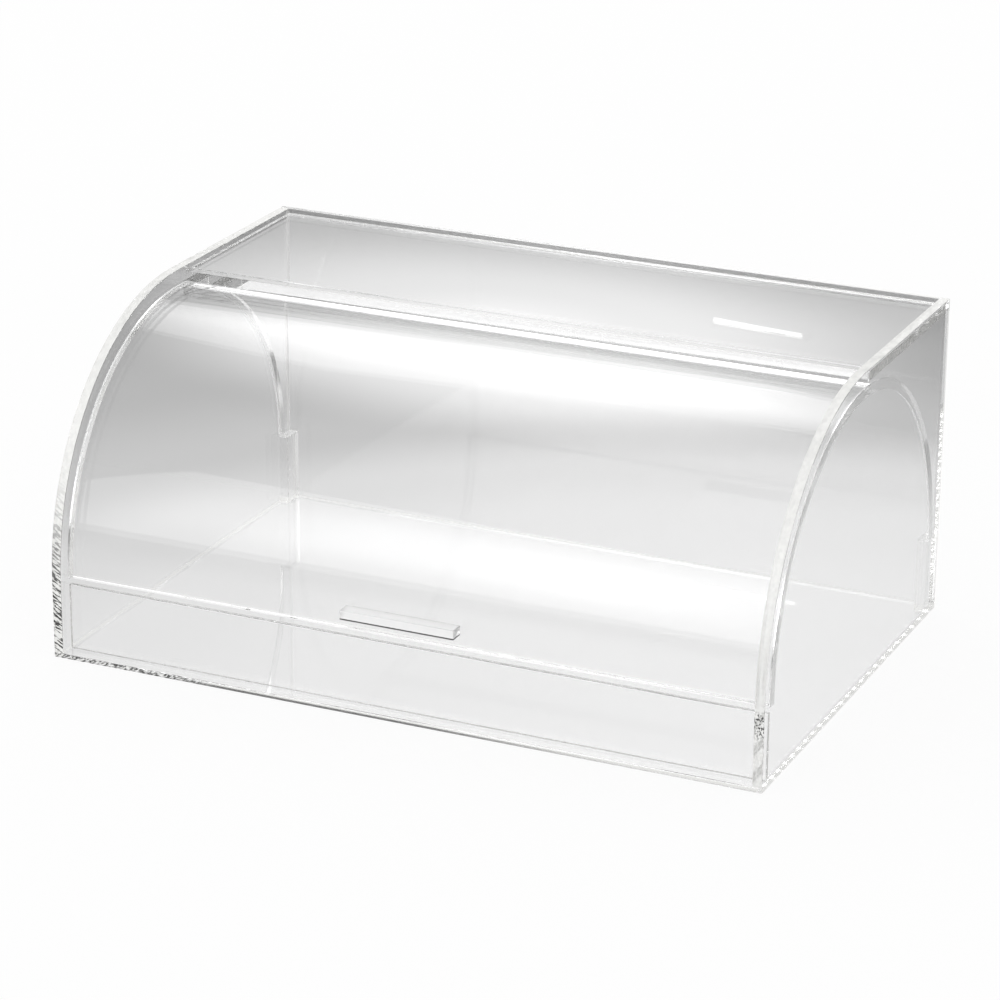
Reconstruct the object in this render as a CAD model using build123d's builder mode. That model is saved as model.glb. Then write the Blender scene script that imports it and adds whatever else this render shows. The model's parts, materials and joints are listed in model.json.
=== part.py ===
from build123d import *
import os
from math import asin, degrees

# Countertop bread display bin in clear acrylic sheet, with a curved door that rolls back
# in half-round grooves in the two side panels.
# Millimetres. The origin is the middle of the base panel's underside, +X to the right
# as a customer sees it, -Y towards the customer, +Z up.

# Outer sizes of the case
width = 450.0
depth = 300.0
axis_height = 50.0  # from the counter to the axis of the door and of the side panels' round
lip_height = 44.0  # from the counter to the top of the front lip

# Sheet thicknesses
side_sheet = 6.0
top_sheet = 6.0
thin_sheet = 3.0  # of the base, the back, the front lip and the strip at the top's front edge
door_sheet = 6.0
handle_sheet = 6.0

# Track of the door, a groove in the inner face of each side panel
rim_land = 10.5  # width of the land between a side panel's round edge and its groove
groove_depth = 3.0
running_clearance = 0.3  # round each face of the door that slides or comes to rest

# Top, and how far the door goes under it
top_recess = 3.0  # from the case's upper edges down to the top panel
top_setback = 6.0  # from the door's axis back to the strip at the top's front edge
door_tuck = 6.0  # from the front of that strip back to the closed door's rear edge

# Front of the closed door, and the lip below it
door_foot = 2.3  # from the axis down to the closed door's front edge
lip_lead = 1.0  # how far the lip's front face is in front of the door's outer face

# Pull handle
handle_length = 72.0
handle_reach = 8.4  # from the door's outer face to the handle's front face
handle_rise = 6.5  # from the axis up to the handle's underside
glue_film = 0.1  # cement between the round door and the handle

# Stop blocks of the open door
stop_width = 6.0
stop_lead = 1.7  # how far a stop reaches in front of the open door's inner face

# Small flat on each edge that a hand can reach
edge_break = 0.4

# Sizes that follow from those above
rim_radius = depth / 2
height = axis_height + rim_radius
front_y = -depth / 2
inner_half_width = width / 2 - side_sheet
back_face_y = depth / 2 - thin_sheet
upright_height = height - thin_sheet  # of the pieces that stand on the base panel
top_face = height - top_recess
top_underside = top_face - top_sheet

groove_outer_radius = rim_radius - rim_land
door_outer_radius = groove_outer_radius - running_clearance
door_inner_radius = door_outer_radius - door_sheet
groove_inner_radius = door_inner_radius - running_clearance
door_length = 2 * (inner_half_width + groove_depth - running_clearance)
foot_angle = degrees(asin(door_foot / door_outer_radius))
door_angle = foot_angle + 90 + degrees(asin((top_setback + door_tuck) / door_outer_radius))
groove_front_height = axis_height - door_foot - running_clearance
rest_height = axis_height - running_clearance  # of the grooves' rear ends and the stops' tops
stop_front_y = door_inner_radius - stop_lead
lip_front_y = -door_outer_radius - lip_lead

os.makedirs("parts", exist_ok=True)

# Base panel, which carries every wall
with BuildPart() as base_panel:
    with BuildSketch(Plane.XY):
        Rectangle(width, depth)
    extrude(amount=thin_sheet)
    chamfer(base_panel.faces().sort_by(Axis.Z)[0].edges(), edge_break)
base_panel.part.label = "base_panel"
export_step(base_panel.part, "parts/base_panel.step")

# Right side panel: straight front, quarter-round rim and flat top, with the door's track
with BuildPart() as right_side_panel:
    with BuildSketch(Plane.YZ.offset(inner_half_width)):
        with BuildLine():
            Line((front_y, thin_sheet), (front_y, axis_height))
            CenterArc((0, axis_height), rim_radius, 180, -90)
            Line((0, height), (back_face_y, height))
            Line((back_face_y, height), (back_face_y, thin_sheet))
            Line((back_face_y, thin_sheet), (front_y, thin_sheet))
        make_face()
    extrude(amount=side_sheet)
    chamfer(right_side_panel.edges().filter_by(GeomType.CIRCLE), edge_break)
    with BuildSketch(Plane.YZ.offset(inner_half_width)):
        with Locations((0, axis_height)):
            Circle(groove_outer_radius)
            Circle(groove_inner_radius, mode=Mode.SUBTRACT)
        with Locations((0, groove_front_height)):
            Rectangle(depth, depth, align=(Align.MAX, Align.MAX), mode=Mode.SUBTRACT)
        with Locations((0, rest_height)):
            Rectangle(depth, depth, align=(Align.MIN, Align.MAX), mode=Mode.SUBTRACT)
    extrude(amount=groove_depth, mode=Mode.SUBTRACT)
right_side_panel.part.label = "right_side_panel"
export_step(right_side_panel.part, "parts/right_side_panel.step")

# Left side panel, the mirror image of the right one
with BuildPart() as left_side_panel:
    mirror(right_side_panel.part, about=Plane.YZ)
left_side_panel.part.label = "left_side_panel"
export_step(left_side_panel.part, "parts/left_side_panel.step")

# Back panel, across the rear ends of both side panels
with BuildPart() as back_panel:
    with BuildSketch(Plane.XZ.offset(-back_face_y)):
        with Locations((0, thin_sheet)):
            Rectangle(width, upright_height, align=(Align.CENTER, Align.MIN))
    extrude(amount=-thin_sheet)
    rear_edges = back_panel.faces().sort_by(Axis.Y)[-1].edges()
    chamfer(rear_edges.sort_by(Axis.Z)[1:], edge_break)
back_panel.part.label = "back_panel"
export_step(back_panel.part, "parts/back_panel.step")

# Strip at the top's front edge, as high as the case's upper edges
with BuildPart() as top_front_strip:
    with BuildSketch(Plane.XY.offset(top_underside)):
        with Locations((0, top_setback)):
            Rectangle(2 * inner_half_width, thin_sheet, align=(Align.CENTER, Align.MIN))
    extrude(amount=height - top_underside)
    strip_top_edges = top_front_strip.faces().sort_by(Axis.Z)[-1].edges()
    chamfer(strip_top_edges.filter_by(Axis.X), edge_break)
top_front_strip.part.label = "top_front_strip"
export_step(top_front_strip.part, "parts/top_front_strip.step")

# Top panel, recessed between the side panels, the back panel and the strip
with BuildPart() as top_panel:
    with BuildSketch(Plane.XY.offset(top_underside)):
        with Locations((0, back_face_y)):
            top_run = back_face_y - top_setback - thin_sheet
            Rectangle(2 * inner_half_width, top_run, align=(Align.CENTER, Align.MAX))
    extrude(amount=top_sheet)
top_panel.part.label = "top_panel"
export_step(top_panel.part, "parts/top_panel.step")

# Front lip panel under the closed door, which keeps the bread in
with BuildPart() as front_lip_panel:
    with BuildSketch(Plane.XZ.offset(-lip_front_y)):
        with Locations((0, thin_sheet)):
            Rectangle(2 * inner_half_width, lip_height - thin_sheet, align=(Align.CENTER, Align.MIN))
    extrude(amount=-thin_sheet)
    lip_edges = front_lip_panel.faces().sort_by(Axis.Z)[-1].edges()
    chamfer(lip_edges.filter_by(Axis.X), edge_break)
front_lip_panel.part.label = "front_lip_panel"
export_step(front_lip_panel.part, "parts/front_lip_panel.step")

# Stop blocks in the rear corners, where the open door's rear edge comes to rest
with BuildPart() as right_rear_stop:
    with BuildSketch(Plane.XY.offset(thin_sheet)):
        with Locations((inner_half_width, back_face_y)):
            Rectangle(stop_width, back_face_y - stop_front_y, align=(Align.MAX, Align.MAX))
    extrude(amount=rest_height - thin_sheet)
    stop_edges = right_rear_stop.faces().sort_by(Axis.Z)[-1].edges()
    chamfer(stop_edges.sort_by(Axis.Y)[0], edge_break)
right_rear_stop.part.label = "right_rear_stop"
export_step(right_rear_stop.part, "parts/right_rear_stop.step")

with BuildPart() as left_rear_stop:
    mirror(right_rear_stop.part, about=Plane.YZ)
left_rear_stop.part.label = "left_rear_stop"
export_step(left_rear_stop.part, "parts/left_rear_stop.step")

# Curved door, closed: its front edge is above the lip, its rear edge under the top panel
with BuildPart() as curved_door:
    with BuildSketch(Plane.YZ.offset(-door_length / 2)):
        with BuildLine():
            outer_arc = CenterArc((0, axis_height), door_outer_radius, 180 + foot_angle, -door_angle)
            inner_arc = CenterArc((0, axis_height), door_inner_radius, 180 + foot_angle, -door_angle)
            Line(outer_arc @ 0, inner_arc @ 0)
            Line(outer_arc @ 1, inner_arc @ 1)
        make_face()
    extrude(amount=door_length)
    chamfer(curved_door.edges().filter_by(Axis.X), edge_break)
curved_door.part.label = "curved_door"
export_step(curved_door.part, "parts/curved_door.step")

# Pull handle, a straight strip whose rear face follows the door's round face
with BuildPart() as door_handle:
    with BuildSketch(Plane.YZ.offset(-handle_length / 2)):
        with Locations((-door_outer_radius - handle_reach, axis_height + handle_rise)):
            Rectangle(door_outer_radius, handle_sheet, align=(Align.MIN, Align.MIN))
        with Locations((0, axis_height)):
            Circle(door_outer_radius + glue_film, mode=Mode.SUBTRACT)
    extrude(amount=handle_length)
    handle_front_edges = door_handle.faces().sort_by(Axis.Y)[0].edges()
    chamfer(handle_front_edges, edge_break)
door_handle.part.label = "door_handle"
export_step(door_handle.part, "parts/door_handle.step")
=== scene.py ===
import json
from math import asin, cos, hypot, pi, radians, sin, sqrt, tan
import bpy
import bmesh
from mathutils import Matrix, Vector

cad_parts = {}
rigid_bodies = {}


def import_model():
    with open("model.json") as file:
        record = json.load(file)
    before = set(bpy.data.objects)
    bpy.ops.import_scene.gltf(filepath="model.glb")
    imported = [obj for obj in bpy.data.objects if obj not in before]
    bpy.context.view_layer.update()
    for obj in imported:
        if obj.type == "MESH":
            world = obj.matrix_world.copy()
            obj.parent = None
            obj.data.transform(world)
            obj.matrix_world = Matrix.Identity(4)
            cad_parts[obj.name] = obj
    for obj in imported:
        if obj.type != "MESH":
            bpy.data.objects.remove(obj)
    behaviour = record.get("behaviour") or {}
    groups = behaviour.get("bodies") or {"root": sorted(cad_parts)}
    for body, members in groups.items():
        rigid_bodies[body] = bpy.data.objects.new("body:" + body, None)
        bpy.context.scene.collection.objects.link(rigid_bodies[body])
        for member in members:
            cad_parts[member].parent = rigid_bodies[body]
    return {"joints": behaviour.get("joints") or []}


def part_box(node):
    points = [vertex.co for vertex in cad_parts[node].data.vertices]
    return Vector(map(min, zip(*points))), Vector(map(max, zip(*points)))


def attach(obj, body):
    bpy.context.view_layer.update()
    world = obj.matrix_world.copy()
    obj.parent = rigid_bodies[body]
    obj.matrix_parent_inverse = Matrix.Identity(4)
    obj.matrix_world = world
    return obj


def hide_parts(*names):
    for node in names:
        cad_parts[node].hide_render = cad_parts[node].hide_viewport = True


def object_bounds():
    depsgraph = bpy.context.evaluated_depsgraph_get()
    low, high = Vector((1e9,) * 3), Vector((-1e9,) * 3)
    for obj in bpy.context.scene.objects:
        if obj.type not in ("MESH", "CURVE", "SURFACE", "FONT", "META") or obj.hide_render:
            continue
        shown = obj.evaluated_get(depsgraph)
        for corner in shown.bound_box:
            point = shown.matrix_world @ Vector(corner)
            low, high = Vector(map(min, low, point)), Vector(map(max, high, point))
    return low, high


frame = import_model()
cad_low, cad_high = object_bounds()

bl_info = {
    "name": "Acrylic bread bin",
    "version": (1, 0, 0),
    "blender": (4, 5, 0),
    "location": "View3D > Sidebar > Bread Bin",
    "description": "Clear acrylic bread bin with a roll-back door, and its studio",
    "category": "Add Mesh",
}

MM = 0.001

base_low, base_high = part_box("base_panel")
door_low, door_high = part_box("curved_door")
handle_low, handle_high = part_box("door_handle")
axis_z = frame["joints"][0]["pos_m"][2]  # height of the axis that the door rolls about
rim_radius = cad_high.z - axis_z
door_outer = -door_low.y
door_foot = asin((axis_z - door_low.z) / door_outer)  # closed door's front edge, below the axis

FLAT_PANELS = ("base_panel", "back_panel", "top_panel", "top_front_strip", "front_lip_panel")
SIDE_PANELS = ("left_side_panel", "right_side_panel")
STOPS = ("left_rear_stop", "right_rear_stop")
CASE = FLAT_PANELS + SIDE_PANELS + STOPS


class BinSettings(bpy.types.PropertyGroup):
    """Sizes and finish of the acrylic."""

    ior: bpy.props.FloatProperty(
        name="Acrylic IOR", description="How strongly the acrylic bends light", default=1.49)
    edge_break: bpy.props.FloatProperty(
        name="Edge break", description="Width of the small round on free edges",
        default=0.4 * MM, unit="LENGTH")
    track_depth: bpy.props.FloatProperty(
        name="Track depth", description="Depth of the door's groove in a side panel",
        default=3.0 * MM, unit="LENGTH")
    running_clearance: bpy.props.FloatProperty(
        name="Running clearance", description="Gap between the door and its groove",
        default=0.3 * MM, unit="LENGTH")
    blind_end: bpy.props.FloatProperty(
        name="Blind end", description="How far a groove goes on past the door's edge",
        default=radians(0.124), unit="ROTATION")
    glue_film: bpy.props.FloatProperty(
        name="Glue film", description="Cement between the door and its handle",
        default=0.1 * MM, unit="LENGTH")
    door_sheet: bpy.props.FloatProperty(
        name="Door sheet", description="Thickness of the door",
        default=6.0 * MM, unit="LENGTH")
    arc_steps: bpy.props.IntProperty(
        name="Arc steps", description="Facets in a quarter round", default=96)


class StudioSettings(bpy.types.PropertyGroup):
    """Camera and floor."""

    camera_place: bpy.props.FloatVectorProperty(
        name="Camera place", description="Where the camera stands", size=3,
        default=(0.88169, -1.96077, 0.89889), subtype="TRANSLATION", unit="LENGTH")
    azimuth: bpy.props.FloatProperty(
        name="Azimuth", description="Camera's turn to the right of straight ahead",
        default=radians(24.267), unit="ROTATION")
    elevation: bpy.props.FloatProperty(
        name="Elevation", description="Camera's height angle over the horizon",
        default=radians(20.728), unit="ROTATION")
    camera_roll: bpy.props.FloatProperty(
        name="Camera roll", description="Turn about the line of sight",
        default=radians(0.46), unit="ROTATION")
    lens: bpy.props.FloatProperty(
        name="Lens", description="Focal length on a 36 mm sensor",
        default=138.16, unit="CAMERA")
    floor_side: bpy.props.FloatProperty(
        name="Floor side", description="Side of the floor square",
        default=12.0, unit="LENGTH")


def settings():
    return bpy.context.scene.bread_bin


def studio():
    return bpy.context.scene.bread_bin_studio


def door_inner():
    """Radius of the door's inner face."""
    return door_outer - settings().door_sheet


# ---------------------------------------------------------------- modelling helpers

WELD = 0.01 * MM  # points closer than this are merged


def deselect_all():
    for thing in bpy.context.view_layer.objects:
        thing.select_set(False)


def only(piece):
    deselect_all()
    bpy.context.view_layer.objects.active = piece
    piece.select_set(True)


def block(name, low, high):
    """A box from its low corner to its high corner, with its place in its mesh."""
    deselect_all()
    centre = (Vector(low) + Vector(high)) / 2
    bpy.ops.mesh.primitive_cube_add(size=1, location=centre)
    piece = bpy.context.active_object
    piece.name = name
    piece.scale = Vector(high) - Vector(low)
    bpy.ops.object.transform_apply(location=True, rotation=True, scale=True)
    return piece


def edit(piece, select_mode):
    """Opens the piece in edit mode with nothing selected, and returns its edit mesh."""
    only(piece)
    bpy.ops.object.mode_set(mode="EDIT")
    bpy.ops.mesh.select_mode(type=select_mode)
    bpy.ops.mesh.select_all(action="DESELECT")
    return bmesh.from_edit_mesh(piece.data)


def edit_edges(piece, wanted):
    """Opens the piece in edit mode with those edges selected for which wanted(edge) holds."""
    mesh = edit(piece, "EDGE")
    for line in mesh.edges:
        line.select_set(wanted(line))
    bmesh.update_edit_mesh(piece.data)


def done():
    bpy.ops.object.mode_set(mode="OBJECT")


def cut(piece, axis, value):
    """Splits the piece's faces along the plane where one coordinate has this value."""
    edit(piece, "FACE")
    bpy.ops.mesh.select_all(action="SELECT")
    point, normal = Vector(), Vector()
    point[axis], normal[axis] = value, 1
    bpy.ops.mesh.bisect(plane_co=point, plane_no=normal)
    done()


def round_edges(piece, wanted, width, segments):
    """Bevels the edges for which wanted(edge) holds, with a true round."""
    edit_edges(piece, wanted)
    bpy.ops.mesh.bevel(offset=width, segments=segments, affect="EDGES", clamp_overlap=False)
    done()


def spun_ring(name, half_length, inner, outer, start, turn, steps):
    """A closed ring sector about the door's axis: start and turn are angles up from the front."""
    deselect_all()
    middle = (inner + outer) / 2
    place = (0, -middle * cos(start), axis_z + middle * sin(start))
    bpy.ops.mesh.primitive_plane_add(size=1, location=place, rotation=(-start, 0, 0))
    ring = bpy.context.active_object
    ring.name = name
    ring.scale = (2 * half_length, outer - inner, 1)
    bpy.ops.object.transform_apply(location=True, rotation=True, scale=True)
    edit(ring, "FACE")
    bpy.ops.mesh.select_all(action="SELECT")
    bpy.ops.mesh.spin(steps=steps, angle=turn, center=(0, 0, axis_z), axis=(1, 0, 0))
    bpy.ops.mesh.select_all(action="DESELECT")
    bpy.ops.mesh.select_mode(type="EDGE")
    bpy.ops.mesh.select_non_manifold()
    bpy.ops.mesh.edge_face_add()
    bpy.ops.mesh.select_all(action="SELECT")
    bpy.ops.mesh.remove_doubles(threshold=WELD)
    bpy.ops.mesh.normals_make_consistent(inside=False)
    done()
    return ring


def carve(piece, cutter):
    """Cuts the cutter's shape out of the piece, and removes the cutter."""
    only(piece)
    tool = piece.modifiers.new("carve", "BOOLEAN")
    tool.operation = "DIFFERENCE"
    tool.solver = "EXACT"
    tool.object = cutter
    bpy.ops.object.modifier_apply(modifier=tool.name)
    bpy.data.objects.remove(cutter)


# ---------------------------------------------------------------- cemented joints

SLACK = 0.05 * MM  # how close two faces have to be to count as touching
FACE, SAWN, CEMENT, CLOUDED, MILLED = range(5)  # places in each piece's material list
CLOUDED_JOINTS = (
    {"right_side_panel", "top_panel"},
    {"right_side_panel", "front_lip_panel"},
    {"left_side_panel", "front_lip_panel"},
    {"base_panel", "front_lip_panel"},
)
SHARP = radians(60)  # edges sharper than this are rounded
SMOOTH = radians(20)  # edges flatter than this are shaded smooth
ROUND_STEPS = 2  # facets across a rounded edge


def contact(node, other):
    """Where a node's box touches another's, as (axis, place, low, high), or None."""
    low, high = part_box(node)
    other_low, other_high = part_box(other)
    for axis in range(3):
        for place, facing in ((low[axis], other_high[axis]), (high[axis], other_low[axis])):
            if abs(place - facing) > SLACK:
                continue
            a = [max(low[i], other_low[i]) for i in range(3)]
            b = [min(high[i], other_high[i]) for i in range(3)]
            if all(b[i] - a[i] > SLACK for i in range(3) if i != axis):
                return axis, place, a, b
    return None


def joints_of(node):
    """The node's cemented joints, as (the other node, axis, place, low, high)."""
    found = [(other, contact(node, other)) for other in CASE if other != node]
    return [(other, *joint) for other, joint in found if joint]


def cut_at_joints(piece, node):
    """Splits the piece's faces along the outlines of its cemented joints."""
    low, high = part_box(node)
    for _, axis, _, a, b in joints_of(node):
        for across in range(3):
            for edge in (a[across], b[across]):
                if across != axis and low[across] + SLACK < edge < high[across] - SLACK:
                    cut(piece, across, edge)


def on_joint(face, axis, place, a, b):
    """True for a face that lies on the joint, inside its outline."""
    if abs(face.center[axis] - place) >= SLACK or abs(face.normal[axis]) <= 0.9:
        return False
    return all(a[i] - SLACK < face.center[i] < b[i] + SLACK for i in range(3) if i != axis)


def paint_joints(piece, node):
    """Gives the faces that lie on a cemented joint the clear or the clouded cement."""
    for other, *joint in joints_of(node):
        cement = CLOUDED if {node, other} in CLOUDED_JOINTS else CEMENT
        for face in piece.data.polygons:
            if on_joint(face, *joint):
                face.material_index = cement


def dress(piece, finish, edge=None):
    """Gives the piece its polished face, its edge and its two cements, in that order."""
    piece.data.materials.append(material("polished_" + finish, acrylic_nodes))
    piece.data.materials.append(edge or material("polished_edge", clear_acrylic))
    piece.data.materials.append(material("clear_cement", clear_cement_nodes))
    piece.data.materials.append(material("clouded_cement", clouded_cement_nodes))


def free_corner(line):
    """True for a sharp edge between two faces of which none is cemented."""
    if len(line.link_faces) != 2 or line.calc_face_angle(0) < SHARP:
        return False
    return all(face.material_index not in (CEMENT, CLOUDED) for face in line.link_faces)


def finish_piece(piece, node, body):
    """Smooths the piece's rounds, and puts it on its body in its node's place."""
    only(piece)
    bpy.ops.object.shade_smooth_by_angle(angle=SMOOTH)
    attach(piece, body)
    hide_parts(node)


# ---------------------------------------------------------------- material helpers

WHITE = (1, 1, 1, 1)
NOISE_SPAN = (0.3, 0.7)  # most of the noise is between these
COARSE, FINE = 3.0, 4.0  # octaves of noise
END_FACE = 0.1 * MM  # nearer than this to a sheet's end is the end face
END_ROUND = 0.5 * MM  # and farther than this the sheet's long edge


def material(name, build):
    """The material of this name, which build makes from a fresh node tree at its first use."""
    made = bpy.data.materials.get(name)
    if made is None:
        made = bpy.data.materials.new(name)
        made.use_nodes = True
        build(made.node_tree)
    return made


def feed(tree, socket, value):
    """Sets the socket to a number, or links it to another socket."""
    if isinstance(value, (int, float)):
        socket.default_value = value
    else:
        tree.links.new(value, socket)


def wire(tree, operation, first, second=None):
    """Adds a math node to the tree, fed from sockets or numbers, and returns its output."""
    node = tree.nodes.new("ShaderNodeMath")
    node.operation = operation
    feed(tree, node.inputs[0], first)
    if second is not None:
        feed(tree, node.inputs[1], second)
    return node.outputs[0]


def product(tree, *factors):
    """The factors, which are sockets or numbers, multiplied together."""
    result = factors[0]
    for factor in factors[1:]:
        result = wire(tree, "MULTIPLY", result, factor)
    return result


def rest_of(tree, share):
    """What the share leaves of one."""
    return wire(tree, "SUBTRACT", 1.0, share)


def remap(tree, value, low, high, new_low, new_high):
    """Carries the span low to high over to new_low to new_high, clamped and eased."""
    node = tree.nodes.new("ShaderNodeMapRange")
    node.interpolation_type = "SMOOTHSTEP"
    tree.links.new(value, node.inputs["Value"])
    node.inputs["From Min"].default_value = low
    node.inputs["From Max"].default_value = high
    node.inputs["To Min"].default_value = new_low
    node.inputs["To Max"].default_value = new_high
    return node.outputs[0]


def rise(tree, value, low, high, top=1.0):
    return remap(tree, value, low, high, 0.0, top)


def fall(tree, value, low, high, top=1.0):
    return remap(tree, value, low, high, top, 0.0)


def at_low_end(tree, value, end, top=1.0):
    """The top value on the end face at a coordinate's low end, and nothing further in."""
    return fall(tree, value, end + END_FACE, end + END_ROUND, top)


def at_high_end(tree, value, end):
    """One on the end face at a coordinate's high end, and nothing further in."""
    return rise(tree, value, end - END_ROUND, end - END_FACE)


def noise(tree, cell, octaves=COARSE, turn=(0, 0, 0)):
    """Noise in the piece's own coordinates: the cells' size in metres, and their turn."""
    place = tree.nodes.new("ShaderNodeTexCoord")
    scale = tree.nodes.new("ShaderNodeMapping")
    scale.vector_type = "TEXTURE"
    scale.inputs["Scale"].default_value = cell
    scale.inputs["Rotation"].default_value = turn
    speckle = tree.nodes.new("ShaderNodeTexNoise")
    speckle.inputs["Scale"].default_value = 1.0
    speckle.inputs["Detail"].default_value = octaves
    tree.links.new(place.outputs["Object"], scale.inputs["Vector"])
    tree.links.new(scale.outputs[0], speckle.inputs["Vector"])
    return speckle.outputs["Fac"]


def grained(tree, cell, low, high, octaves=FINE):
    """A share that wanders between low and high, over cells of this size."""
    return remap(tree, noise(tree, cell, octaves), *NOISE_SPAN, low, high)


def coordinates(tree):
    """The piece's own X, Y and Z, as sockets."""
    place = tree.nodes.new("ShaderNodeTexCoord")
    axes = tree.nodes.new("ShaderNodeSeparateXYZ")
    tree.links.new(place.outputs["Object"], axes.inputs[0])
    return axes.outputs[:]


def emboss(tree, height, depth, strength=1.0):
    """Bumps the tree's acrylic surface by this height, which is 0 to 1 of the depth."""
    bump = tree.nodes.new("ShaderNodeBump")
    bump.inputs["Distance"].default_value = depth
    tree.links.new(height, bump.inputs["Height"])
    feed(tree, bump.inputs["Strength"], strength)
    tree.links.new(bump.outputs[0], tree.nodes["Principled BSDF"].inputs["Normal"])


def clear_acrylic(tree):
    surface = tree.nodes["Principled BSDF"]
    surface.inputs["Base Color"].default_value = WHITE
    surface.inputs["Roughness"].default_value = 0.0
    surface.inputs["IOR"].default_value = settings().ior
    surface.inputs["Transmission Weight"].default_value = 1.0
    return surface


def darken(tree, marks):
    """Takes light away from what passes the tree's acrylic, by these marks or painted shade of 0 to
    1.
    """
    clear = wire(tree, "POWER", rest_of(tree, marks), 2.0)  # the colour counts as its root
    tree.links.new(clear, tree.nodes["Principled BSDF"].inputs["Base Color"])


def frost(tree, share, white, lit_from="Diffuse"):
    """Lays matt white over the tree's surface by this share, as a saw or a cutter leaves it.

    It is lit from outside, or with "Translucent" it lets that light on into the sheet.
    """
    matt = tree.nodes.new("ShaderNodeBsdf" + lit_from)
    matt.inputs["Color"].default_value = white
    over = tree.nodes.new("ShaderNodeMixShader")
    output = tree.nodes["Material Output"].inputs["Surface"]
    tree.links.new(share, over.inputs[0])
    tree.links.new(output.links[0].from_socket, over.inputs[1])
    tree.links.new(matt.outputs[0], over.inputs[2])
    tree.links.new(over.outputs[0], output)


# ---------------------------------------------------------------- materials

SAWN_WHITE = (0.95, 0.95, 0.93, 1)
MILLED_WHITE = (0.97, 0.97, 0.96, 1)
CEMENT_WHITE = (0.97, 0.97, 0.95, 1)

# Cells of the finishes' noise, their size along X, Y and Z, and how far the marks lean
WIPING_CELL = (0.017, 0.017, 0.0011)
RIPPLE_CELL = (0.09, 0.09, 0.09)
SAW_CELL, SAW_LEAN = (0.0055, 0.0055, 0.0011), (0, radians(28), 0)
ZIGZAG_CELL, ZIGZAG_LEAN = (0.0035, 0.006, 0.0012), (0, radians(-35), 0)
CHIP_CELL = (0.0012, 0.0012, 0.0016)
RIM_CELL = (0.004, 0.006, 0.006)
BASE_EDGE_CELL = (0.0016, 0.004, 0.0012)
BACK_EDGE_CELL = (0.0015, 0.0015, 0.0015)
DOOR_END_CELL = (0.004, 0.002, 0.002)
MILLED_CELL = (0.02, 0.0007, 0.0007)
BUBBLE_CELL = (0.002, 0.002, 0.002)

# Noise at which a mark begins, and at which it is full
WIPING_NOISE = (0.62, 0.8)
SAW_NOISE = (0.47, 0.58)
ZIGZAG_NOISE = (0.42, 0.56)
CHIP_NOISE = (0.48, 0.58)

# Depth of the bumps
RIPPLE_DEPTH = 0.02 * MM
SAW_DEPTH = 0.1 * MM
RING_DEPTH = 0.03 * MM

# Places at which a finish changes, in metres from the object's origin
LEFT_TO_RIGHT = (-0.1, 0.1)  # X between the two side panels
SAW_FADE = (0.04, 0.125)  # height over which the saw marks end
CHIPS_BEGIN, CHIPS_END = (0.030, 0.036), (0.046, 0.05)  # heights of the chips at the foot
RIM_CLIMB = (0.05, 0.14)  # height over which the rim grows more matt
ZIGZAG_END = (-0.15, -0.11)  # X at which the base's saw marks give way to a painted shade line
SHADE_LINE_FADE = (0.0, 0.17)  # X over which that painted shade line grows faint
SHADE_LINE_TOP = (0.0014, 0.0019)  # height of the painted shade line's upper side
BUFF_END = (0.0, 0.2)  # X over which the back panel's edge grows matt
ABOVE_LIP = (0.05, 0.06)  # height between the lip's joints and the top panel's
TOP_JOINT_RUN = (-0.1, 0.15)  # X over which the top panel's joint grows cloudy


def acrylic_nodes(tree):
    """Polished sheet: a slow ripple, and faint wiping marks in its gloss."""
    surface = clear_acrylic(tree)
    wiping = rise(tree, noise(tree, WIPING_CELL, FINE), *WIPING_NOISE, 0.035)
    tree.links.new(wiping, surface.inputs["Roughness"])
    emboss(tree, noise(tree, RIPPLE_CELL, 0.0), RIPPLE_DEPTH)


def sawn_upright_nodes(tree):
    """Edge of a side panel: marks low at the front, and matt up its round rim.

    The left panel's marks are slanting saw marks, and the right one's are small chips.
    """
    clear_acrylic(tree)
    x, _, z = coordinates(tree)
    left = fall(tree, x, *LEFT_TO_RIGHT)
    low = fall(tree, z, *SAW_FADE)
    streaks = noise(tree, SAW_CELL, COARSE, SAW_LEAN)
    saw = product(tree, rise(tree, streaks, *SAW_NOISE, 0.95), left, low)
    foot = product(tree, remap(tree, z, *CHIPS_BEGIN, 0.15, 1.0), fall(tree, z, *CHIPS_END))
    chips = rise(tree, noise(tree, CHIP_CELL), *CHIP_NOISE, 0.95)
    marks = wire(tree, "ADD", saw, product(tree, chips, foot, rest_of(tree, left)))
    darken(tree, marks)
    emboss(tree, streaks, SAW_DEPTH, product(tree, low, left))
    matt = product(tree, grained(tree, RIM_CELL, 0.78, 0.95), remap(tree, z, *RIM_CLIMB, 0.5, 0.85))
    frost(tree, product(tree, matt, rest_of(tree, marks)), SAWN_WHITE)


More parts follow.
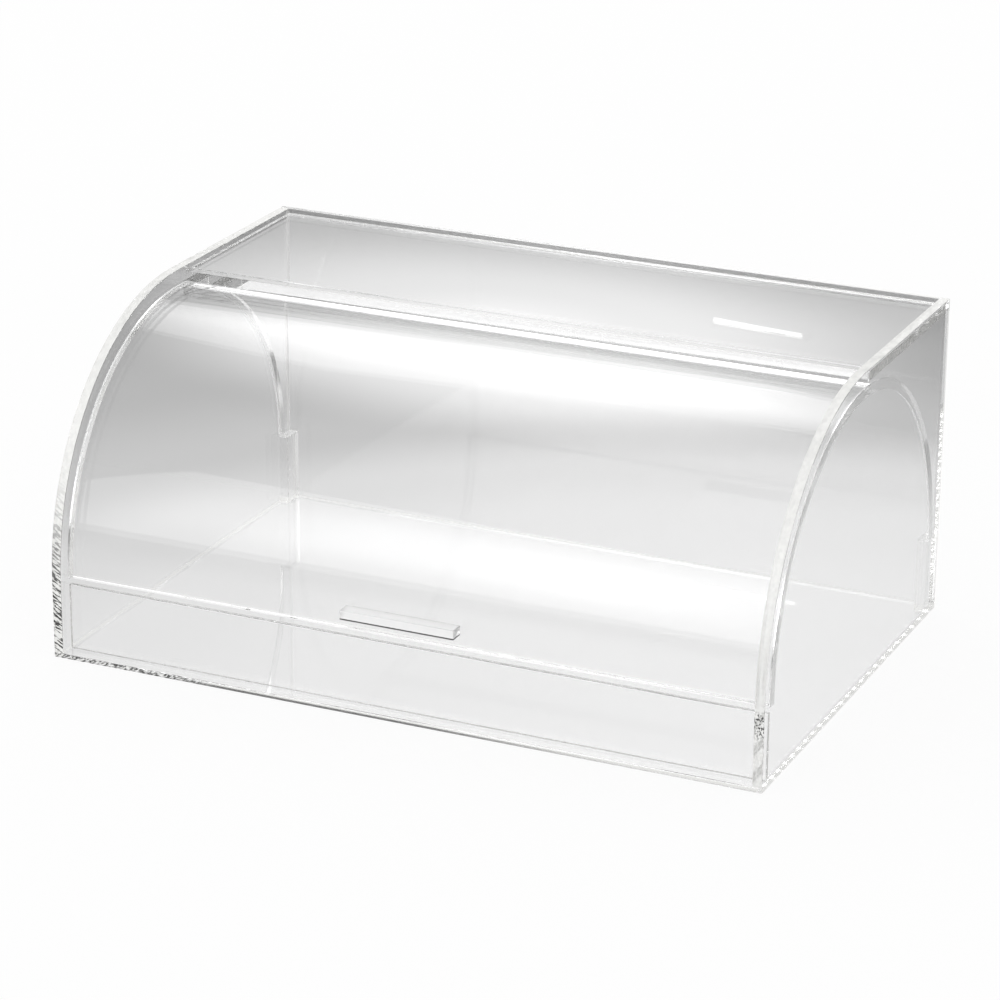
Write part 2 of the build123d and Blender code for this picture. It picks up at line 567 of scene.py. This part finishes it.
def sawn_level_nodes(tree):
    """Edge of the base: saw marks at the front's left, a painted shade line from there, matt sides.

    The two sides that face away from the front let light into the sheet.
    """
    clear_acrylic(tree)
    x, y, z = coordinates(tree)
    front = at_low_end(tree, y, base_low.y)
    streaks = noise(tree, ZIGZAG_CELL, COARSE, ZIGZAG_LEAN)
    zigzag = product(tree, rise(tree, streaks, *ZIGZAG_NOISE, 0.9), fall(tree, x, *ZIGZAG_END))
    # painted shade: a dark line along the foot of the base's front edge, from the saw marks on,
    # fading along X
    line = product(tree, rise(tree, x, *ZIGZAG_END, 0.8), remap(tree, x, *SHADE_LINE_FADE, 1.0, 0.1),
                   fall(tree, z, *SHADE_LINE_TOP))
    marks = product(tree, wire(tree, "ADD", zigzag, line), front)
    darken(tree, marks)
    far = wire(tree, "MAXIMUM", at_low_end(tree, x, base_low.x), at_high_end(tree, y, base_high.y))
    far = product(tree, far, rest_of(tree, front))
    clear_front = rest_of(tree, product(tree, front, 0.75))
    matt = product(tree, grained(tree, BASE_EDGE_CELL, 0.8, 1.0), clear_front)
    near = product(tree, rest_of(tree, far), rest_of(tree, marks))
    frost(tree, product(tree, matt, near), SAWN_WHITE)
    frost(tree, product(tree, far, 0.85), SAWN_WHITE, "Translucent")


def half_polished_nodes(tree):
    """Edge of the back panel: polished, but for the end that the buff wheel did not reach.

    The left end lets light into the sheet.
    """
    clear_acrylic(tree)
    x = coordinates(tree)[0]
    matt = remap(tree, x, *BUFF_END, 0.05, 0.8)
    frost(tree, product(tree, grained(tree, BACK_EDGE_CELL, 0.8, 1.0), matt), SAWN_WHITE)
    frost(tree, at_low_end(tree, x, base_low.x, 0.4), SAWN_WHITE, "Translucent")


def milled_nodes(tree):
    """Groove that a cutter milled: clear, with a faint matt bloom and rings along it."""
    clear_acrylic(tree)
    rings = noise(tree, MILLED_CELL)
    emboss(tree, rings, RING_DEPTH)
    frost(tree, remap(tree, rings, *NOISE_SPAN, 0.05, 0.2), MILLED_WHITE)


def door_edge_nodes(tree):
    """Edge of the door: polished front and rear, and matt where it slides in the grooves."""
    clear_acrylic(tree)
    off_centre = wire(tree, "ABSOLUTE", coordinates(tree)[0])
    round_begins = door_high.x - settings().edge_break
    slide = rise(tree, off_centre, round_begins, door_high.x - END_FACE, 0.2)
    frost(tree, product(tree, grained(tree, DOOR_END_CELL, 0.8, 1.0), slide), SAWN_WHITE)


def handle_edge_nodes(tree):
    """Handle's edge: half matt, with painted shade along its lowest line."""
    clear_acrylic(tree)
    dark = 0.9
    line_top = (handle_low.z + 0.9 * MM, handle_low.z + 1.3 * MM)
    # painted shade: the handle's lowest line is darkened, and the matt share drops there
    shade = fall(tree, coordinates(tree)[2], *line_top, dark)
    darken(tree, shade)
    frost(tree, product(tree, wire(tree, "SUBTRACT", dark, shade), 0.5), WHITE)


def cement_nodes(tree, low, high, more=1.0):
    """Cemented joint, which light passes as if the sheets were one, but for its bubbles."""
    tree.nodes.remove(tree.nodes["Principled BSDF"])
    clear = tree.nodes.new("ShaderNodeBsdfTransparent")
    tree.links.new(clear.outputs[0], tree.nodes["Material Output"].inputs["Surface"])
    bubbles = grained(tree, BUBBLE_CELL, low, high, COARSE)
    frost(tree, product(tree, bubbles, more), CEMENT_WHITE)


def clear_cement_nodes(tree):
    cement_nodes(tree, 0.0, 0.03)


def clouded_cement_nodes(tree):
    """Cement that clouded as it set, more so at the top panel's right end."""
    x, _, z = coordinates(tree)
    upper = product(tree, remap(tree, z, *ABOVE_LIP, 1.0, 2.2),
                    remap(tree, x, *TOP_JOINT_RUN, 0.1, 1.0))
    lower = fall(tree, z, *ABOVE_LIP)
    cement_nodes(tree, 0.2, 0.4, wire(tree, "MAXIMUM", upper, lower))


# ---------------------------------------------------------------- stage

FLOOR_GAP = 0.2 * MM  # the base panel stands this much clear of the floor plane
FLOOR_GLOW = 0.93  # share of the floor's light that is its own, so that a shadow still shows
FLOOR_PAINT = 0.88
# Two pools of light painted on the floor: centre, reach along X and Y, and (share of the reach,
# grey)
MAIN_POOL = (
    (0.19, -0.13), (1.0, 1.0),
    ((0.0, 0.86), (0.25, 0.82), (0.4, 0.77), (0.5, 0.69), (0.6, 0.49), (0.75, 0.35), (0.95, 0.225)),
)
REAR_POOL = ((-0.246, 0.542), (0.372, 0.24), ((0.0, 0.676), (0.35, 0.51), (1.0, 0.0)))
ROOM_GREY = 0.9
LAMP_DISTANCE = 3.0
# Each lamp's name, azimuth from straight behind and elevation, width and height as seen from
# the origin, brightness of its middle, evenly bright share of its half-width, and lean to the
# side; the angles are in degrees, and the brightness is beside a white of one
SOFTBOXES = (
    ("rear_softbox", -34.5, 49, 27, 28.5, 1.85, 0.2, 0),
    ("front_softbox", -158.4, 18.8, 22.0, 30.5, 2.45, 0.2, 0),
    ("strip_light", -17.2, 21.6, 2.33, 0.1, 1.6, 0.9, -8),
)
SENSOR_WIDTH = 36  # millimetres
CLIP_END = 100
SHEET_BOUNCES = 140  # enough for light that a thin sheet carries along from end to end
CEMENT_BOUNCES = 32  # clear joints that light passes one after another


def ramp(tree, factor, stops):
    """Adds a grey colour ramp with stops given as (place, grey)."""
    node = tree.nodes.new("ShaderNodeValToRGB")
    colours = node.color_ramp
    colours.interpolation = "EASE"
    for spare in list(colours.elements)[1:]:
        colours.elements.remove(spare)
    for number, (place, grey) in enumerate(stops):
        stop = colours.elements[0] if number == 0 else colours.elements.new(place)
        stop.position = place
        stop.color = (grey, grey, grey, 1)
    tree.links.new(factor, node.inputs["Fac"])
    return node.outputs["Color"]


def white_to_camera(tree, paths, colour):
    """White for the camera's own rays, and this colour for all others."""
    choice = tree.nodes.new("ShaderNodeMix")
    choice.data_type = "RGBA"
    tree.links.new(paths.outputs["Is Camera Ray"], choice.inputs["Factor"])
    tree.links.new(colour, choice.inputs["A"])
    choice.inputs["B"].default_value = WHITE
    return choice.outputs["Result"]


def set_light_paths(scene):
    scene.view_settings.view_transform = "Standard"
    scene.cycles.max_bounces = SHEET_BOUNCES
    scene.cycles.glossy_bounces = SHEET_BOUNCES
    scene.cycles.transmission_bounces = SHEET_BOUNCES
    scene.cycles.transparent_max_bounces = CEMENT_BOUNCES


def make_world():
    world = bpy.data.worlds.new("studio")
    bpy.context.scene.world = world
    world.use_nodes = True
    tree = world.node_tree
    room = tree.nodes.new("ShaderNodeRGB")
    room.outputs[0].default_value = (ROOM_GREY, ROOM_GREY, ROOM_GREY, 1)
    paths = tree.nodes.new("ShaderNodeLightPath")
    colour = white_to_camera(tree, paths, room.outputs[0])
    tree.links.new(colour, tree.nodes["Background"].inputs["Color"])


def pool(tree, centre, reach, greys):
    """Grey of a pool of light painted on the floor, from its greys at shares of its reach."""
    place = tree.nodes.new("ShaderNodeTexCoord")
    off = tree.nodes.new("ShaderNodeMapping")
    off.vector_type = "TEXTURE"
    off.inputs["Location"].default_value = (*centre, 0)
    off.inputs["Scale"].default_value = (*reach, 1)
    far = tree.nodes.new("ShaderNodeVectorMath")
    far.operation = "LENGTH"
    tree.links.new(place.outputs["Object"], off.inputs["Vector"])
    tree.links.new(off.outputs[0], far.inputs[0])
    return ramp(tree, far.outputs["Value"], greys)


def floor_nodes(tree):
    """White floor, which glass and gloss see as two painted pools of light, and which takes
    shadows.
    """
    tree.nodes.remove(tree.nodes["Principled BSDF"])
    paths = tree.nodes.new("ShaderNodeLightPath")
    # painted pools of light in the floor's glow, which only glass and gloss see
    pools = wire(tree, "ADD", pool(tree, *MAIN_POOL), pool(tree, *REAR_POOL))
    glow = tree.nodes.new("ShaderNodeEmission")
    tree.links.new(white_to_camera(tree, paths, pools), glow.inputs["Color"])
    paint = tree.nodes.new("ShaderNodeBsdfDiffuse")
    paint.inputs["Color"].default_value = (FLOOR_PAINT, FLOOR_PAINT, FLOOR_PAINT, 1)
    seen = paths.outputs["Is Camera Ray"]
    for ray in ("Is Transmission Ray", "Is Glossy Ray"):
        seen = wire(tree, "MAXIMUM", seen, paths.outputs[ray])
    mix = tree.nodes.new("ShaderNodeMixShader")
    tree.links.new(product(tree, seen, FLOOR_GLOW), mix.inputs[0])
    tree.links.new(paint.outputs[0], mix.inputs[1])
    tree.links.new(glow.outputs[0], mix.inputs[2])
    tree.links.new(mix.outputs[0], tree.nodes["Material Output"].inputs["Surface"])


def make_floor():
    deselect_all()
    bpy.ops.mesh.primitive_plane_add(size=studio().floor_side, location=(0, 0, -FLOOR_GAP))
    floor = bpy.context.active_object
    floor.name = "floor"
    floor.data.materials.append(material("floor_white", floor_nodes))


def fade_to_room(light, radiance, core):
    """Dims the lamp from its evenly bright core to its edges, which are as bright as the room."""
    light.use_nodes = True
    tree = light.node_tree
    place = tree.nodes.new("ShaderNodeNewGeometry")
    sheet = tree.nodes.new("ShaderNodeSeparateXYZ")
    tree.links.new(place.outputs["Parametric"], sheet.inputs[0])
    fades = []
    for across in sheet.outputs[:2]:
        off_centre = wire(tree, "ABSOLUTE", wire(tree, "SUBTRACT", across, 0.5))
        fades.append(fall(tree, off_centre, core / 2, 0.5))
    edge = ROOM_GREY / radiance
    glow = product(tree, *fades, 1 - edge)
    tree.links.new(wire(tree, "ADD", glow, edge), tree.nodes["Emission"].inputs["Strength"])


def make_lights():
    for name, azimuth, elevation, wide, high, radiance, core, lean in SOFTBOXES:
        azimuth, elevation = radians(azimuth), radians(elevation)
        way = Vector((sin(azimuth) * cos(elevation), cos(azimuth) * cos(elevation), sin(elevation)))
        bpy.ops.object.light_add(type="AREA", location=way * LAMP_DISTANCE)
        lamp = bpy.context.active_object
        lamp.name = name
        facing = way.to_track_quat("Z", "Y").to_matrix() @ Matrix.Rotation(radians(lean), 3, "Z")
        lamp.rotation_euler = facing.to_euler()
        light = lamp.data
        light.shape = "RECTANGLE"
        light.size = 2 * LAMP_DISTANCE * tan(radians(wide) / 2)
        light.size_y = 2 * LAMP_DISTANCE * tan(radians(high) / 2)
        light.energy = radiance * pi * light.size * light.size_y
        fade_to_room(light, radiance, core)


def make_camera():
    look = studio()
    bpy.ops.object.camera_add(location=look.camera_place)
    camera = bpy.context.active_object
    turn = (Matrix.Rotation(look.azimuth, 4, "Z")
            @ Matrix.Rotation(radians(90) - look.elevation, 4, "X")
            @ Matrix.Rotation(look.camera_roll, 4, "Z"))
    camera.rotation_euler = turn.to_euler()
    camera.data.lens = look.lens
    camera.data.sensor_width = SENSOR_WIDTH
    camera.data.clip_end = CLIP_END
    bpy.context.scene.camera = camera


# ---------------------------------------------------------------- operators

EDGE_FINISHES = {
    "base_panel": ("sawn_level_edge", sawn_level_nodes),
    "back_panel": ("half_polished_edge", half_polished_nodes),
}
TRACK_MARGIN = 0.4 * MM  # a groove's facets are within this of the door's two round faces


def along_the_sheet(piece, face):
    """True for a face on a flat sheet's edge, which looks along the sheet and not through it."""
    across = max(range(3), key=lambda axis: abs(face.normal[axis]))
    return piece.dimensions[across] > 1.5 * min(piece.dimensions)


class BREADBIN_OT_flat_panels(bpy.types.Operator):
    """Model the flat case panels and the stop blocks"""

    bl_idname = "breadbin.flat_panels"
    bl_label = "Flat Panels"

    def execute(self, context):
        for node in FLAT_PANELS + STOPS:
            piece = block(node + "_acrylic", *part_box(node))
            cut_at_joints(piece, node)
            edge = material(*EDGE_FINISHES[node]) if node in EDGE_FINISHES else None
            dress(piece, "case_acrylic", edge)
            paint_joints(piece, node)
            for face in piece.data.polygons:
                if face.material_index == FACE and along_the_sheet(piece, face):
                    face.material_index = SAWN
            round_edges(piece, free_corner, settings().edge_break, ROUND_STEPS)
            finish_piece(piece, node, "case")
        return {"FINISHED"}


def rim_corner(line):
    """True for the one upper front edge of a side panel's block."""
    return all(v.co.y < 0 and v.co.z > axis_z for v in line.verts)


def cut_track(piece, inner_face):
    """Cuts the door's half-round groove into a side panel's inner face, and names its faces."""
    look = settings()
    inner = door_inner()
    carve(piece, spun_ring(
        "track_cutter", inner_face + look.track_depth,
        inner - look.running_clearance, door_outer + look.running_clearance,
        -door_foot - look.blind_end, door_foot + radians(180) + 2 * look.blind_end,
        2 * look.arc_steps))
    piece.data.materials.append(material("milled_groove", milled_nodes))
    for face in piece.data.polygons:
        depth = abs(face.center.x) - inner_face
        reach = hypot(face.center.y, face.center.z - axis_z)
        in_track = inner - TRACK_MARGIN < reach < door_outer + TRACK_MARGIN
        if in_track and SLACK < depth < look.track_depth + SLACK:
            face.material_index = MILLED


class BREADBIN_OT_side_panels(bpy.types.Operator):
    """Model the side panels with their round rims and the door's grooves"""

    bl_idname = "breadbin.side_panels"
    bl_label = "Side Panels"

    def execute(self, context):
        look = settings()
        for node in SIDE_PANELS:
            low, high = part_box(node)
            piece = block(node + "_acrylic", low, high)
            round_edges(piece, rim_corner, rim_radius, look.arc_steps)
            cut_at_joints(piece, node)
            dress(piece, "case_acrylic", material("sawn_upright_edge", sawn_upright_nodes))
            paint_joints(piece, node)
            for face in piece.data.polygons:
                if abs(face.normal.x) < 0.5 and face.material_index == FACE:
                    face.material_index = SAWN
            round_edges(piece, free_corner, look.edge_break, ROUND_STEPS)
            cut_track(piece, min(abs(low.x), abs(high.x)))
            finish_piece(piece, node, "case")
        return {"FINISHED"}


class BREADBIN_OT_door(bpy.types.Operator):
    """Model the curved door"""

    bl_idname = "breadbin.door"
    bl_label = "Curved Door"

    def execute(self, context):
        look = settings()
        turn = door_foot + radians(90) + asin(door_high.y / door_outer)
        door = spun_ring("curved_door_acrylic", door_high.x, door_inner(), door_outer,
                         -door_foot, turn, look.arc_steps)
        for axis in (2, 0):
            for place in (handle_low[axis], handle_high[axis]):
                cut(door, axis, place)
        dress(door, "door_acrylic", material("door_edge", door_edge_nodes))
        for face in door.data.polygons:
            out = Vector((0, face.center.y, face.center.z - axis_z))
            outward = face.normal.dot(out.normalized())
            under_handle = all(handle_low[i] < face.center[i] < handle_high[i] for i in (0, 2))
            if abs(outward) < 0.5:
                face.material_index = SAWN
            elif outward > 0 and under_handle:
                face.material_index = CEMENT
        round_edges(door, free_corner, look.edge_break, ROUND_STEPS)
        finish_piece(door, "curved_door", "door")
        return {"FINISHED"}


class BREADBIN_OT_handle(bpy.types.Operator):
    """Model the pull handle on the door"""

    bl_idname = "breadbin.handle"
    bl_label = "Pull Handle"

    def execute(self, context):
        handle = block("door_handle_acrylic", handle_low, handle_high)
        seat = door_outer + settings().glue_film
        for height in (handle_low.z, handle_high.z):  # the rear edges come to the round door
            edit_edges(handle, lambda line: all(
                abs(v.co.y - handle_high.y) < SLACK and abs(v.co.z - height) < SLACK
                for v in line.verts))
            seat_y = -sqrt(seat ** 2 - (height - axis_z) ** 2)
            bpy.ops.transform.translate(value=(0, seat_y - handle_high.y, 0))
            done()
        dress(handle, "handle_acrylic", material("handle_edge", handle_edge_nodes))
        for face in handle.data.polygons:
            if face.normal.y > 0.5:
                face.material_index = CEMENT
            elif face.normal.z > -0.5:
                face.material_index = SAWN
        round_edges(handle, free_corner, settings().edge_break, ROUND_STEPS)
        finish_piece(handle, "door_handle", "door")
        return {"FINISHED"}


class BREADBIN_OT_stage(bpy.types.Operator):
    """Set the floor, the lights and the camera"""

    bl_idname = "breadbin.stage"
    bl_label = "Stage"

    def execute(self, context):
        set_light_paths(context.scene)
        make_world()
        make_floor()
        make_lights()
        make_camera()
        return {"FINISHED"}


# ---------------------------------------------------------------- add-on


class BREADBIN_PT_panel(bpy.types.Panel):
    """Lists the bin's sizes, its pieces and its studio"""

    bl_idname = "BREADBIN_PT_panel"
    bl_label = "Bread Bin"
    bl_space_type = "VIEW_3D"
    bl_region_type = "UI"
    bl_category = "Bread Bin"

    def draw(self, context):
        for group in (settings(), studio()):
            for name in group.__annotations__:
                self.layout.prop(group, name)
        for operator in OPERATORS:
            self.layout.operator(operator.bl_idname)


OPERATORS = (
    BREADBIN_OT_flat_panels,
    BREADBIN_OT_side_panels,
    BREADBIN_OT_door,
    BREADBIN_OT_handle,
    BREADBIN_OT_stage,
)
CLASSES = (BinSettings, StudioSettings) + OPERATORS + (BREADBIN_PT_panel,)


def register():
    for cls in CLASSES:
        bpy.utils.register_class(cls)
    bpy.types.Scene.bread_bin = bpy.props.PointerProperty(type=BinSettings)
    bpy.types.Scene.bread_bin_studio = bpy.props.PointerProperty(type=StudioSettings)


def unregister():
    del bpy.types.Scene.bread_bin
    del bpy.types.Scene.bread_bin_studio
    for cls in reversed(CLASSES):
        bpy.utils.unregister_class(cls)


def main():
    register()
    bpy.ops.breadbin.flat_panels()
    bpy.ops.breadbin.side_panels()
    bpy.ops.breadbin.door()
    bpy.ops.breadbin.handle()
    bpy.ops.breadbin.stage()


if __name__ == "__main__":
    main()
